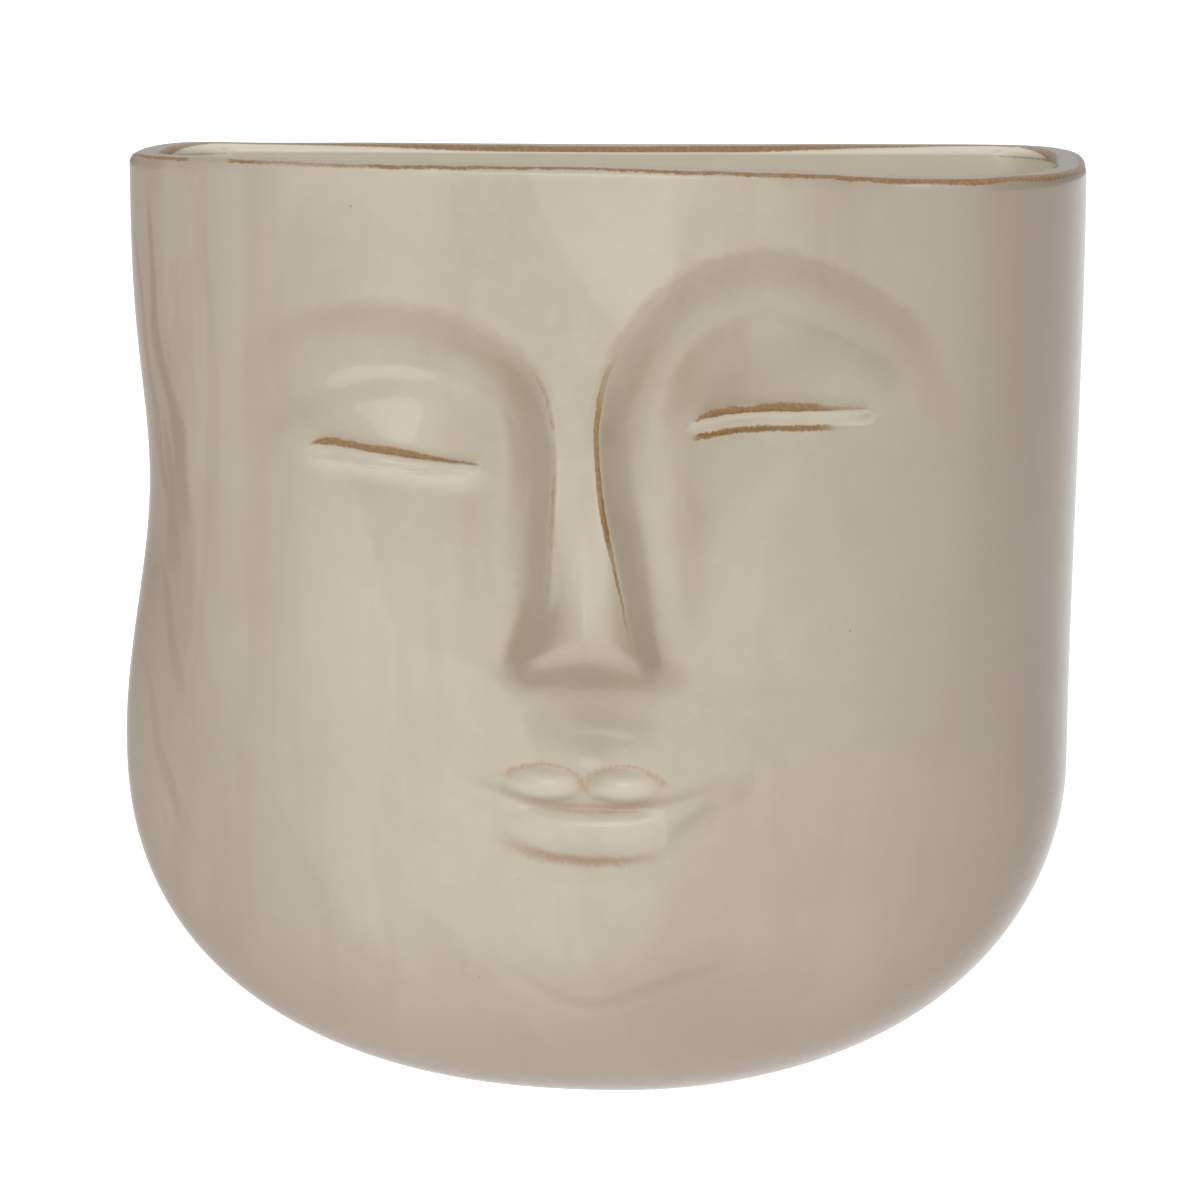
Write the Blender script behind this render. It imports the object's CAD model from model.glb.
import math

import bmesh
import bpy
import numpy as np
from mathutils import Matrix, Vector


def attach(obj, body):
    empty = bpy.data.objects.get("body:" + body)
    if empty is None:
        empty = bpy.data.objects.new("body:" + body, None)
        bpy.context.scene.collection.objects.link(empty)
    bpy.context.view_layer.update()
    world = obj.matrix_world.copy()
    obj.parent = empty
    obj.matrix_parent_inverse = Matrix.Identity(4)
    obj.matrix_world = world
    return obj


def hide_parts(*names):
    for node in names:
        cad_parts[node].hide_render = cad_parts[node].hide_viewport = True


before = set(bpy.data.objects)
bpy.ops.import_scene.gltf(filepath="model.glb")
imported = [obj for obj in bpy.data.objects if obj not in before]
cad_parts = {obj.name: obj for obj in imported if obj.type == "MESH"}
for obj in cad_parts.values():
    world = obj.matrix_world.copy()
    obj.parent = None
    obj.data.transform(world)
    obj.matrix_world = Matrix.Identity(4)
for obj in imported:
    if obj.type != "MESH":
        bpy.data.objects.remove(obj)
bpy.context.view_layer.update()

# Looks of the face wall planter: the glazed pot at full fineness, its pads, the light and the camera.
# Metres, +Z up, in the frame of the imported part. The face looks along -Y and the back lies on Y = 0.

# Outline of the pot, seen from the front
RIM_TOP = 0.033
BELLY_LEVEL = -0.118
BOTTOM_DROP = 0.0925
LEFT_HALF = 0.1224
RIGHT_HALF = 0.1182
BOTTOM_POWER_LEFT = 2.34
BOTTOM_POWER_RIGHT = 2.04
WAIST_LEVEL = -0.05
WAIST_REACH = 0.035
WAIST_INSET = 0.0043
JOWL_REACH = 0.032
JOWL_SWELL = 0.0027
FLARE_LEVEL = -0.13
FLARE_SWELL = 0.0032

# Depth of the pot, seen from above
WIDEST_DEPTH = 0.035
BACK_ROUND = 0.016
BACK_POWER = 2.2
FRONT_BULGE = 0.044
FRONT_SLANT = 0.16
CORNER_X = 0.088
CORNER_REACH = 0.038
CORNER_SWELL = 0.02
CORNER_TOP = -0.02
CORNER_FADE = 0.13
CORNER_LOW_SHARE = 0.3
SOFT_POWER = 2.5
CORNER_POWER = 4.0
EDGE_FADE_POWER = 10
CAVITY_ROUND = 0.018

# Clay walls
WALL = 0.008
BACK_WALL = 0.009
BACK_RECESS = 0.0004
LIP_ROUND = 0.0025

# Hanging slots through the back wall
SLOT_SPACING = 0.12
SLOT_ENTRY_RADIUS = 0.006
SLOT_NECK_RADIUS = 0.003
SLOT_RISE = 0.011
SLOT_ENTRY_DROP = 0.005

# Edges between the raised forehead and nose and the lower eye fields, from the outer end inwards and down
LEFT_BROW = (
    (-0.15, -0.056), (-0.104, -0.026), (-0.085, -0.0115), (-0.07, -0.0052), (-0.056, -0.0034),
    (-0.0455, -0.0042), (-0.035, -0.0065), (-0.025, -0.0108), (-0.0176, -0.0168),
    (-0.013, -0.0245), (-0.0111, -0.034), (-0.0108, -0.045), (-0.0115, -0.06),
    (-0.0121, -0.07), (-0.0128, -0.0785), (-0.0146, -0.085), (-0.0168, -0.091),
    (-0.0178, -0.099), (-0.0178, -0.12), (-0.0178, -0.24),
)
RIGHT_BROW = (
    (0.15, -0.085), (0.108, -0.045), (0.09, -0.024), (0.083, -0.011), (0.0775, -0.0025),
    (0.071, 0.0025), (0.0615, 0.0074), (0.05, 0.0114), (0.039, 0.0118), (0.0298, 0.0092),
    (0.0198, 0.004), (0.0128, -0.0022), (0.0068, -0.0101), (0.003, -0.017),
    (0.0006, -0.0255), (-0.0001, -0.036), (0.0012, -0.05), (0.0036, -0.062),
    (0.0062, -0.074), (0.0085, -0.085), (0.0103, -0.092), (0.0114, -0.1),
    (0.0114, -0.12), (0.0114, -0.24),
)
BROW_DROP_WIDTH = 0.015
BROW_CRISPNESS = 0.35
BROW_END_X = 0.098
BROW_END_FADE = 0.042
NOSE_SIDE_WIDTH = 0.0088
EDGE_SOFTNESS = 0.0007
TIP_SOFTNESS = 0.0055
TIP_SOFT_LEVEL = -0.05
TIP_SOFT_REACH = 0.035

# Nose
NOSE_HEIGHT = 0.0165
NOSE_TOP_LEVEL = -0.008
NOSE_TIP_LEVEL = -0.086
NOSE_BASE_LEVEL = -0.101
NOSE_RISE_POWER = 1.4
NOSE_AXIS_X = -0.0015
NOSE_TIP_BOW = 20.0
NOSE_TIP_HALF = 0.017
NOSE_SPAN = 0.06
NOSE_SPAN_FADE = 0.03

# Soft hollows of the eye fields, each (x, z, reach in x, reach in z, height)
LEFT_HOLLOWS = {
    "inner_corner": (-0.023, -0.027, 0.018, 0.022, -0.0075),
    "under_brow": (-0.05, -0.015, 0.027, 0.013, -0.0048),
    "beside_nose": (-0.022, -0.062, 0.01, 0.03, -0.003),
}
RIGHT_HOLLOWS = {
    "inner_corner": (0.015, -0.018, 0.019, 0.026, -0.0085),
    "under_brow": (0.047, 0.0, 0.03, 0.014, -0.0052),
    "beside_nose": (0.017, -0.056, 0.011, 0.03, -0.004),
    "outer_corner": (0.073, -0.01, 0.013, 0.012, -0.0026),
}

# Soft mounds and dips of the face, each (x, z, reach in x, reach in z, height)
MOUNDS = {
    "left_lid": (-0.053, -0.04, 0.024, 0.012, 0.0042),
    "right_lid": (0.045, -0.027, 0.025, 0.013, 0.0044),
    "muzzle": (-0.002, -0.126, 0.042, 0.026, 0.005),
    "under_lip": (-0.001, -0.146, 0.02, 0.005, -0.0016),
    "chin": (0.0, -0.164, 0.032, 0.015, 0.004),
    "left_cheek": (-0.064, -0.102, 0.032, 0.034, 0.0025),
    "right_cheek": (0.056, -0.096, 0.034, 0.036, 0.003),
    "left_dimple": (-0.049, -0.137, 0.006, 0.005, -0.0014),
    "under_nose": (0.002, -0.1065, 0.013, 0.004, -0.0012),
    "philtrum": (-0.001, -0.114, 0.0065, 0.0035, -0.001),
}
NOSE_WINGS = {
    "left_wing": (-0.0166, -0.0905, 0.007, 0.0065, 0.0022),
    "right_wing": (0.014, -0.0898, 0.007, 0.0065, 0.0022),
    "tip": (-0.0015, -0.087, 0.011, 0.012, 0.0015),
}

# Plump lips with a clear edge, each (x, z, half length, half height, height)
LIPS = {
    "left_upper_lip": (-0.0142, -0.1224, 0.0106, 0.0052, 0.0026),
    "right_upper_lip": (0.0066, -0.1222, 0.01, 0.0052, 0.0026),
    "lower_lip": (-0.0015, -0.1336, 0.0245, 0.008, 0.0026),
}

# Creases of the face: the line, the depth and the reach to each side
MOUTH_LINE = (
    (-0.04, -0.1205), (-0.031, -0.1225), (-0.022, -0.125), (-0.013, -0.1272),
    (-0.004, -0.1278), (0.005, -0.1275), (0.013, -0.1263), (0.022, -0.124),
    (0.037, -0.1198),
)
MOUTH_DEPTH = 0.0013
MOUTH_REACH = 0.003
CHIN_LINE = (
    (-0.034, -0.164), (-0.021, -0.1725), (-0.01, -0.179), (-0.001, -0.1805), (0.01, -0.1765),
    (0.025, -0.1705), (0.04, -0.1645), (0.056, -0.157),
)
CHIN_DEPTH = 0.0012
CHIN_REACH = 0.007
SMILE_LINE = (
    (0.017, -0.136), (0.025, -0.129), (0.031, -0.1235), (0.04, -0.118),
)
SMILE_DEPTH = 0.0017
SMILE_REACH = 0.0042

# Folds of the eyelids, which stand up over the eye fields
LEFT_FOLD = (
    (-0.086, -0.04), (-0.0756, -0.0335), (-0.065, -0.0285), (-0.0526, -0.0258),
    (-0.044, -0.0268), (-0.0364, -0.03), (-0.025, -0.04),
)
RIGHT_FOLD = (
    (0.016, -0.03), (0.023, -0.017), (0.033, -0.008), (0.045, -0.003),
    (0.056, -0.003), (0.068, -0.009), (0.08, -0.019),
)
FOLD_HEIGHT = 0.0008
FOLD_REACH = 0.0055

# Eye slits: the middle line of each and its half height
LEFT_SLIT = (
    (-0.073, -0.0394), (-0.066, -0.0397), (-0.056, -0.041), (-0.045, -0.0424),
    (-0.031, -0.044),
)
LEFT_SLIT_HALF = 0.0019
RIGHT_SLIT = (
    (0.024, -0.0317), (0.033, -0.029), (0.041, -0.0276), (0.05, -0.0269),
    (0.058, -0.0262), (0.067, -0.0253),
)
RIGHT_SLIT_HALF = 0.0023
SLIT_END_TAPER = 0.85
DOME_POWER = 1.6

# Fineness of the shown mesh
TINY = 1e-6
LINE_STEPS = 5
SHOWN_COLUMNS = 260
SHOWN_ROWS = 240
INNER_ROWS = 60
BAND_STEPS = 10
RIM_STEPS = 5
SLOT_STEPS = 16
FACE_HALF = 0.075
NOSE_HALF = 0.022
BROW_BAND = (-0.052, 0.02)
MOUTH_BAND = (-0.146, -0.084)
BAND_FADE = 0.012
SPACING_SAMPLES = 400
SIDE_CROWDING = 0.4
FACE_CROWDING = 1.1
NOSE_CROWDING = 1.2
BROW_CROWDING = 1.1
MOUTH_CROWDING = 2.3
TURN_CROWDING = 0.7
TURN_SHARPNESS = 0.985
AROUND_STEPS = 8
INNER_SOFTNESS = 0.002

# Marks of the hand in the clay. Each pattern is the size of its cells and its seed
LATTICE = 64
BROAD_WAVE = 0.00016
BROAD_PATTERN = (0.034, 3)
NARROW_WAVE = 0.00005
NARROW_PATTERN = (0.013, 5)
RIM_CROWN = 0.0004
RIM_LAND_SHARES = (0.4, 0.5, 0.6)
RIM_SWAY = 0.0004
RIM_SWAY_REACH = 0.008
RIM_SWAY_PATTERN = (0.03, 8)
SLIT_SPREAD = 1.15

# Where the two pieces of clay meet, and how the way over the rim is counted
SEAM_Y = -0.0092
SEAM_BAND = 0.00005
RIM_FAR = 0.011
CREST_REACH = 0.002
MM = 1000

# Colours of the glaze and of the clay that shows through it
CREAM = (0.545, 0.48, 0.372, 1.0)
CREAM_DEEP = (0.488, 0.424, 0.322, 1.0)
CREAM_PALE = (0.66, 0.6, 0.48, 1.0)
ROSE = (0.375, 0.285, 0.205, 1.0)
ASH = (0.34, 0.283, 0.218, 1.0)
POOLED = (0.8, 0.73, 0.6, 1.0)
OCHRE = (0.24, 0.108, 0.01, 1.0)
OCHRE_PALE = (0.33, 0.172, 0.036, 1.0)
RUST = (0.4, 0.21, 0.1, 1.0)
RED_BROWN = (0.32, 0.21, 0.125, 1.0)
WARM_SHADE = (0.4, 0.31, 0.215, 1.0)
RUN_BROWN = (0.3, 0.225, 0.165, 1.0)
DARK = (0.06, 0.04, 0.028, 1.0)

# Colours of the pads and the stage
RUBBER_CLEAN = (0.66, 0.64, 0.58, 1.0)
RUBBER_DUSTY = (0.5, 0.47, 0.41, 1.0)
FLOOR_DIM = (0.8, 0.8, 0.8, 1.0)
FLOOR_BRIGHT = (0.84, 0.84, 0.84, 1.0)
WHITE = (1.0, 1.0, 1.0, 1.0)

# Noise patterns, each (scale, detail, roughness, stretch, shift)
EVEN = (1.0, 1.0, 1.0)
HERE = (0.0, 0.0, 0.0)
PATTERNS = {
    "cloud": (24.0, 3.0, 0.55, EVEN, HERE),
    "fine": (210.0, 3.0, 0.6, EVEN, (4.0, 1.0, 2.0)),
    "grain": (950.0, 2.0, 0.6, EVEN, (6.0, 3.0, 1.0)),
    "runs": (62.0, 3.0, 0.6, (1.0, 1.0, 0.1), HERE),
    "pours": (13.0, 1.0, 0.5, (1.0, 1.0, 0.45), (2.0, 3.0, 5.0)),
    "drips": (40.0, 4.0, 0.62, (1.0, 0.5, 0.28), (0.3, 0.1, 0.8)),
    "swell": (55.0, 1.0, 0.5, EVEN, (1.0, 1.0, 1.0)),
    "peel": (420.0, 1.0, 0.5, EVEN, (2.0, 2.0, 2.0)),
    "rim_waves": (70.0, 2.0, 0.5, EVEN, HERE),
    "rim_grains": (900.0, 2.0, 0.7, EVEN, HERE),
    "rim_patches": (26.0, 2.0, 0.5, EVEN, (5.0, 2.0, 0.0)),
    "face_tatters": (300.0, 2.0, 0.6, EVEN, HERE),
    "face_grains": (1100.0, 2.0, 0.7, (1.0, 1.0, 0.45), HERE),
    "face_patches": (110.0, 3.0, 0.5, EVEN, (1.0, 7.0, 4.0)),
    "slit_patches": (60.0, 1.0, 0.5, EVEN, (9.0, 0.0, 0.0)),
    "rubber_grain": (900.0, 3.0, 0.5, EVEN, HERE),
    "dust": (180.0, 2.0, 0.5, EVEN, (1.0, 4.0, 2.0)),
    "floor": (3.0, 2.0, 0.5, EVEN, HERE),
}

# Dots in the glaze, each (cells in a metre, size in a cell, share of the cells, shift)
DOTS = (95.0, 0.05, 0.1, HERE)
PINHOLES = (70.0, 0.045, 0.035, (3.1, 1.7, 0.4))

# What is stored on the mesh: the places to the lines of the face, to the eye slits and over the rim
MARKS = {
    "brow": ("left_brow", "right_brow", "front"),
    "slit": ("across", "along"),
    "lips": ("lips", "mouth", "smile"),
    "form": ("crest", "chin", "over"),
}
FAR_FROM_LIPS = -9.0

# Runs of brown glaze down the left side, each (points from the top down, half width, strength)
RUN_FADE = 0.014
RUN_TOP_SHARE = 0.35
RUN_SOFT_EDGE = (1.0, 0.3)
SIDE_RUNS = (
    (((-0.1172, 0.0259), (-0.1155, -0.009), (-0.109, -0.0405), (-0.1075, -0.068)), 0.003, 0.8),
    (((-0.1225, 0.023), (-0.1186, -0.012), (-0.1152, -0.038), (-0.1098, -0.07)), 0.0016, 0.7),
    (((-0.101, 0.02), (-0.0996, -0.02), (-0.1003, -0.082)), 0.0036, 0.3),
    (((-0.1135, -0.03), (-0.111, -0.056), (-0.1106, -0.078)), 0.0032, 0.75),
    (((-0.115, -0.064), (-0.1128, -0.08), (-0.109, -0.11)), 0.0024, 0.45),
    (((-0.1205, -0.09), (-0.116, -0.115), (-0.105, -0.15)), 0.003, 0.35),
)

# Gloss and fine relief of the glaze
ROUGH_LEAST = 0.24
ROUGH_FINE = 0.16
ROUGH_WORN = 0.14
COAT_WEIGHT = 0.75
COAT_ROUGHNESS = 0.07
COAT_IOR = 1.5
SWELL_HEIGHT = 0.16
PEEL_HEIGHT = 0.014
WORN_HEIGHT = -0.03
PINHOLE_HEIGHT = -0.1
GLAZE_BUMP = 0.001
RUBBER_BUMP = 0.0001

# Camera, floor, lamp and the tent of light
TARGET = (0.0, -0.05, -0.08)
CAMERA_TURN = 3.0
CAMERA_RISE = 9.0
CAMERA_AWAY = 1.5
CAMERA_LENS = 176.4
CAMERA_SHIFT = -0.0037
FLOOR_LEVEL = -0.45
FLOOR_HALF = 12.0
FLOOR_CELLS = 8
FLOOR_GLOW = 0.3
FLOOR_SEEN_GLOW = 0.55
LAMP_PLACE = (-0.6, -1.8, 1.1)
LAMP_SIZE = 1.0
LAMP_POWER = 3.0
TENT_FRONT = (-0.25, -0.95, 0.06, 1.1)
TENT_BACK = (0.55, 0.95, 0.0, 0.38)
TENT_TOP = (0.1, 1.0, 0.0, 0.78)


def ease(t):
    """0 below 0, 1 above 1 and a smooth step between."""
    t = np.clip(t, 0.0, 1.0)
    return t * t * (3.0 - 2.0 * t)


def bell(distance, reach):
    return np.exp(-((distance / reach) ** 2))


def smooth_line(points):
    """Points along a Catmull-Rom curve through the given ones."""
    p = np.array(points)
    p = np.vstack([2 * p[0] - p[1], p, 2 * p[-1] - p[-2]])
    t = (np.arange(LINE_STEPS) / LINE_STEPS)[:, None]
    spans = []
    for a, b, c, d in zip(p[:-3], p[1:-2], p[2:-1], p[3:]):
        turn = 2 * a - 5 * b + 4 * c - d
        twist = 3 * b - a - 3 * c + d
        spans.append(0.5 * (2 * b + (c - a) * t + turn * t**2 + twist * t**3))
    return np.vstack([*spans, p[-2:-1]])


def line_distance(x, z, points):
    """How far each point lies from the line, positive on the left of its direction."""
    line = smooth_line(points)
    start = line[:-1]
    along = line[1:] - start
    at = np.stack([x, z], -1)[:, None, :] - start
    share = np.clip((at * along).sum(-1) / (along**2).sum(-1), 0.0, 1.0)
    apart = np.hypot(*np.moveaxis(at - share[..., None] * along, -1, 0))
    nearest = apart.argmin(1)
    pick = np.arange(len(x))
    side = along[nearest, 0] * at[pick, nearest, 1] - along[nearest, 1] * at[pick, nearest, 0]
    return np.where(side < 0, -1.0, 1.0) * apart[pick, nearest]


def mounds(x, z, table):
    """The summed height of soft round mounds."""
    total = np.zeros_like(x)
    for centre_x, centre_z, reach_x, reach_z, height in table.values():
        total += height * np.exp(-(((x - centre_x) / reach_x) ** 2) - ((z - centre_z) / reach_z) ** 2)
    return total


def domes(x, z, table):
    """The summed height of domes that end in a clear edge."""
    total = np.zeros_like(x)
    for centre_x, centre_z, half_x, half_z, height in table.values():
        inside = 1.0 - ((x - centre_x) / half_x) ** 2 - ((z - centre_z) / half_z) ** 2
        total += height * np.clip(inside, 0.0, 1.0) ** DOME_POWER
    return total


def crease(x, z, line, depth, reach):
    """A rounded valley along the line, from its left end to its right one, that fades to both."""
    first, last = line[0][0], line[-1][0]
    along = np.clip((2 * x - first - last) / (last - first), -1.0, 1.0)
    return -depth * bell(line_distance(x, z, line), reach) * (1.0 - along**4)


def beyond(distance, softness):
    """The distance past an edge, which is close to 0 before it and rises from there in a soft turn."""
    return (distance + np.hypot(distance, softness)) / 2


def nose_height(x, z, beside):
    """Height of the nose over the forehead, with concave sides beside its ridge and a rounded underside."""
    rise = np.clip((NOSE_TOP_LEVEL - z) / (NOSE_TOP_LEVEL - NOSE_TIP_LEVEL), 0.0, 1.0) ** NOSE_RISE_POWER
    rise = rise * ease((NOSE_SPAN - np.abs(x)) / NOSE_SPAN_FADE)
    off = np.minimum(np.abs(x - NOSE_AXIS_X), NOSE_TIP_HALF) ** 2
    tip = NOSE_TIP_LEVEL - NOSE_TIP_BOW * off
    softness = EDGE_SOFTNESS + TIP_SOFTNESS * ease((TIP_SOFT_LEVEL - z) / TIP_SOFT_REACH)
    under = beyond(tip - z, softness) / (tip - NOSE_BASE_LEVEL)
    beside = beyond(beside, softness) / NOSE_SIDE_WIDTH
    fall = np.minimum(np.hypot(beside, under), 1.0)
    lower = under / (beside + under)
    left = lower * (1.0 - ease(fall)) + (1.0 - lower) * (1.0 - fall) ** 2
    return (NOSE_HEIGHT * rise + mounds(x, z, NOSE_WINGS)) * left


def below_brow(side):
    """0 on the forehead's side of a brow edge and 1 in the eye field, with a clear edge between."""
    t = np.clip(-side / BROW_DROP_WIDTH, 0.0, 1.0)
    return BROW_CRISPNESS * t * (2.0 - t) + (1.0 - BROW_CRISPNESS) * ease(t)


def relief(x, z):
    """How far the face stands in front of the plain pot."""
    from_left = line_distance(x, z, LEFT_BROW)
    from_right = -line_distance(x, z, RIGHT_BROW)
    nose = nose_height(x, z, np.maximum(-from_left, -from_right))
    hollows = below_brow(from_left) * mounds(x, z, LEFT_HOLLOWS)
    hollows += below_brow(from_right) * mounds(x, z, RIGHT_HOLLOWS)
    hollows = hollows * ease((BROW_END_X - np.abs(x)) / BROW_END_FADE)
    creases = crease(x, z, MOUTH_LINE, MOUTH_DEPTH, MOUTH_REACH)
    creases += crease(x, z, CHIN_LINE, CHIN_DEPTH, CHIN_REACH)
    creases += crease(x, z, SMILE_LINE, SMILE_DEPTH, SMILE_REACH)
    creases -= crease(x, z, LEFT_FOLD, FOLD_HEIGHT, FOLD_REACH)
    creases -= crease(x, z, RIGHT_FOLD, FOLD_HEIGHT, FOLD_REACH)
    return nose + hollows + mounds(x, z, MOUNDS) + domes(x, z, LIPS) + creases


def inner_relief(x, z):
    """The relief as the inner face of an even wall follows it: the softened least over a wall's reach."""
    total = np.exp(-relief(x, z) / INNER_SOFTNESS)
    for reach in (WALL / 2, WALL):
        for step in range(AROUND_STEPS):
            angle = math.tau * step / AROUND_STEPS
            shifted = relief(x + reach * math.cos(angle), z + reach * math.sin(angle))
            total += np.exp(-shifted / INNER_SOFTNESS)
    return -INNER_SOFTNESS * np.log(total / (1 + 2 * AROUND_STEPS))


def half_width(x, z):
    """Half width of the pot on the side of x at height z."""
    z = np.maximum(z, BELLY_LEVEL)
    left = LEFT_HALF - WAIST_INSET * bell(z - WAIST_LEVEL, WAIST_REACH)
    left = left + JOWL_SWELL * bell(z - BELLY_LEVEL, JOWL_REACH)
    right = RIGHT_HALF + FLARE_SWELL * ease((z - FLARE_LEVEL) / (RIM_TOP - FLARE_LEVEL))
    return np.where(x < 0, left, right)


def bottom_power(x):
    """How square the round bottom is on the side of x."""
    return np.where(x < 0, BOTTOM_POWER_LEFT, BOTTOM_POWER_RIGHT)


def outline_point(u, v, inset):
    """(x, z) of a point of the unit square, -1 to 1 each way, in the outline drawn in by the inset."""
    low = np.minimum(v, 0.0)
    disc_x = u * np.sqrt(1.0 - low**2 / 2)
    disc_z = low * np.sqrt(1.0 - u**2 / 2)
    radius = np.hypot(disc_x, disc_z)
    power = bottom_power(u)
    length = (np.abs(disc_x) ** power + np.abs(disc_z) ** power) ** (1.0 / power)
    squared = np.divide(radius, length, out=np.ones_like(radius), where=length > 0)
    z = BELLY_LEVEL + (BOTTOM_DROP - inset) * disc_z * squared
    z = z + np.maximum(v, 0.0) * (RIM_TOP - BELLY_LEVEL)
    x = (half_width(u, z) - inset) * disc_x * squared
    return x, z


def outline_share(x, z, inset):
    """0 on the middle line and 1 on the outline."""
    across = np.abs(x) / (half_width(x, z) - inset)
    down = np.maximum(BELLY_LEVEL - z, 0.0) / (BOTTOM_DROP - inset)
    power = bottom_power(x)
    share = (across**power + down**power) ** (1.0 / power)
    return np.clip(share, 0.0, 1.0), across


def bulge(x, z):
    """How far the front of the plain pot stands before its widest outline. It is deepest on the right."""
    high_share = ease(1.0 + (z - CORNER_TOP) / CORNER_FADE)
    share = CORNER_LOW_SHARE + (1.0 - CORNER_LOW_SHARE) * high_share
    return FRONT_BULGE + FRONT_SLANT * x + CORNER_SWELL * bell(x - CORNER_X, CORNER_REACH) * share


def front_face(x, z, inset, carving):
    """Y of the front of the pot, with its relief given by the carving function."""
    share, across = outline_share(x, z, inset)
    toward_right = np.divide(across, share, out=np.zeros_like(share), where=(share > 0) & (x > 0))
    power = SOFT_POWER + (CORNER_POWER - SOFT_POWER) * toward_right**2
    crown = (1.0 - share**power) ** (1.0 / power)
    return -WIDEST_DEPTH - (bulge(x, z) - inset) * crown - carving(x, z) * (1.0 - share**EDGE_FADE_POWER)


def spaced(low, high, count, density):
    """Positions from low to high, closer together where the density is high."""
    fine = np.linspace(low, high, SPACING_SAMPLES)
    cells = (density(fine[:-1]) + density(fine[1:])) / 2
    total = np.concatenate([[0.0], np.cumsum(cells)])
    return np.interp(np.linspace(0.0, total[-1], count + 1), total, fine)


def turning(t):
    """How steeply the surface turns away at the share t of its half size."""
    return TURN_CROWDING / np.sqrt(1.0 - TURN_SHARPNESS * t**2)


def column_density(u):
    """Columns crowd at the nose and mouth, and where the sides turn away."""
    x = np.abs(u) * LEFT_HALF
    face = FACE_CROWDING * ease((FACE_HALF - x) / FACE_HALF)
    return SIDE_CROWDING + face + NOSE_CROWDING * (x < NOSE_HALF) + turning(u)


def row_density(v):
    """Rows crowd at the brows and eyes, at the nose tip and mouth, and where the bottom turns under."""
    scale = np.where(v < 0, BOTTOM_DROP, RIM_TOP - BELLY_LEVEL)
    z = BELLY_LEVEL + v * scale
    brows = ease((z - BROW_BAND[0]) / BAND_FADE) * ease((BROW_BAND[1] - z) / BAND_FADE)
    mouth = ease((z - MOUTH_BAND[0]) / BAND_FADE) * ease((MOUTH_BAND[1] - z) / BAND_FADE)
    even = 1.0 + BROW_CROWDING * brows + MOUTH_CROWDING * mouth
    return scale * even + BOTTOM_DROP * turning(np.minimum(v, 0.0))


def lip_level(angle):
    """Row position on the rim's rounded edge, 0 where the rounding starts and a right angle at its top."""
    z = RIM_TOP - LIP_ROUND * (1.0 - math.sin(angle))
    return (z - BELLY_LEVEL) / (RIM_TOP - BELLY_LEVEL)


def back_profile(rounding, depth, last_y, steps):
    """(share of the outline, y) from the widest outline back to last_y, on a corner of that rounding."""
    end = math.asin(min(1.0, (last_y + WIDEST_DEPTH) / depth) ** (BACK_POWER / 2))
    for k in range(1, steps + 1):
        angle = end * k / steps
        shrink = rounding / LEFT_HALF * (1.0 - math.cos(angle) ** (2 / BACK_POWER))
        yield 1.0 - shrink, depth * math.sin(angle) ** (2 / BACK_POWER) - WIDEST_DEPTH


def value_noise(x, z, cell, seed):
    """Smooth noise from -1 to 1 on a seeded lattice with that cell."""
    lattice = np.random.default_rng(seed).uniform(-1.0, 1.0, (LATTICE, LATTICE))
    across = x / cell + LATTICE / 2
    up = z / cell + LATTICE / 2
    i = np.floor(across).astype(int)
    j = np.floor(up).astype(int)
    s = ease(across - i)
    t = ease(up - j)
    i = i % (LATTICE - 1)
    j = j % (LATTICE - 1)
    low = lattice[i, j] * (1 - s) + lattice[i + 1, j] * s
    high = lattice[i, j + 1] * (1 - s) + lattice[i + 1, j + 1] * s
    return low * (1 - t) + high * t


def stored(items, name, kind=float, size=1):
    """What each item stores under that name, as one row of values for each item."""
    values = np.empty(size * len(items), kind)
    items.foreach_get(name, values)
    return values.reshape(-1, size)


def at_cavity_back(y):
    return np.abs(y - BACK_RECESS + BACK_WALL) < SEAM_BAND


def keep_seam_normals(mesh):
    """Shades the pieces alike on both sides of the seam, and the cavity's corners as its flat back."""
    y = stored(mesh.vertices, "co", size=3)[:, 1]
    normals = stored(mesh.attributes["whole_normal"].data, "vector", size=3)
    corners = stored(mesh.loops, "vertex_index", int)[:, 0]
    sizes = stored(mesh.polygons, "loop_total", int)[:, 0]
    smooth = stored(mesh.polygons, "use_smooth", bool)[:, 0]
    kept = (np.abs(y - SEAM_Y) < SEAM_BAND)[corners] & np.repeat(smooth, sizes)
    chosen = np.where(kept[:, None], normals[corners], 0.0)
    chosen[at_cavity_back(y)[corners]] = (0.0, -1.0, 0.0)
    mesh.normals_split_custom_set(chosen.tolist())


def along_line(x, line):
    """-1 at the left end of the line and 1 at its right end."""
    first, last = line[0][0], line[-1][0]
    return (2 * x - first - last) / (last - first)


def slit_groove(x, z, line, half_height):
    """Depth of a rounded groove along an eye that tapers to its ends, with soft edges."""
    along = np.clip(np.abs(along_line(x, line)), 0.0, 1.0)
    half = half_height * np.sqrt(1.0 - SLIT_END_TAPER * along**4)
    share = np.clip(np.abs(line_distance(x, z, line)) / (half * SLIT_SPREAD), 0.0, 1.0)
    return half * (1.0 - share**3) ** 2


def hand_marks(x, z):
    """The face's relief with its eye slits and the slight waves that hands leave in the clay."""
    waves = BROAD_WAVE * value_noise(x, z, *BROAD_PATTERN)
    waves += NARROW_WAVE * value_noise(x, z, *NARROW_PATTERN)
    slits = slit_groove(x, z, LEFT_SLIT, LEFT_SLIT_HALF) + slit_groove(x, z, RIGHT_SLIT, RIGHT_SLIT_HALF)
    return relief(x, z) + waves - BROAD_WAVE - NARROW_WAVE - slits


def quads(first, second):
    """Faces between two rows of points."""
    return np.stack([first[:-1], first[1:], second[1:], second[:-1]], -1).tolist()


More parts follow.
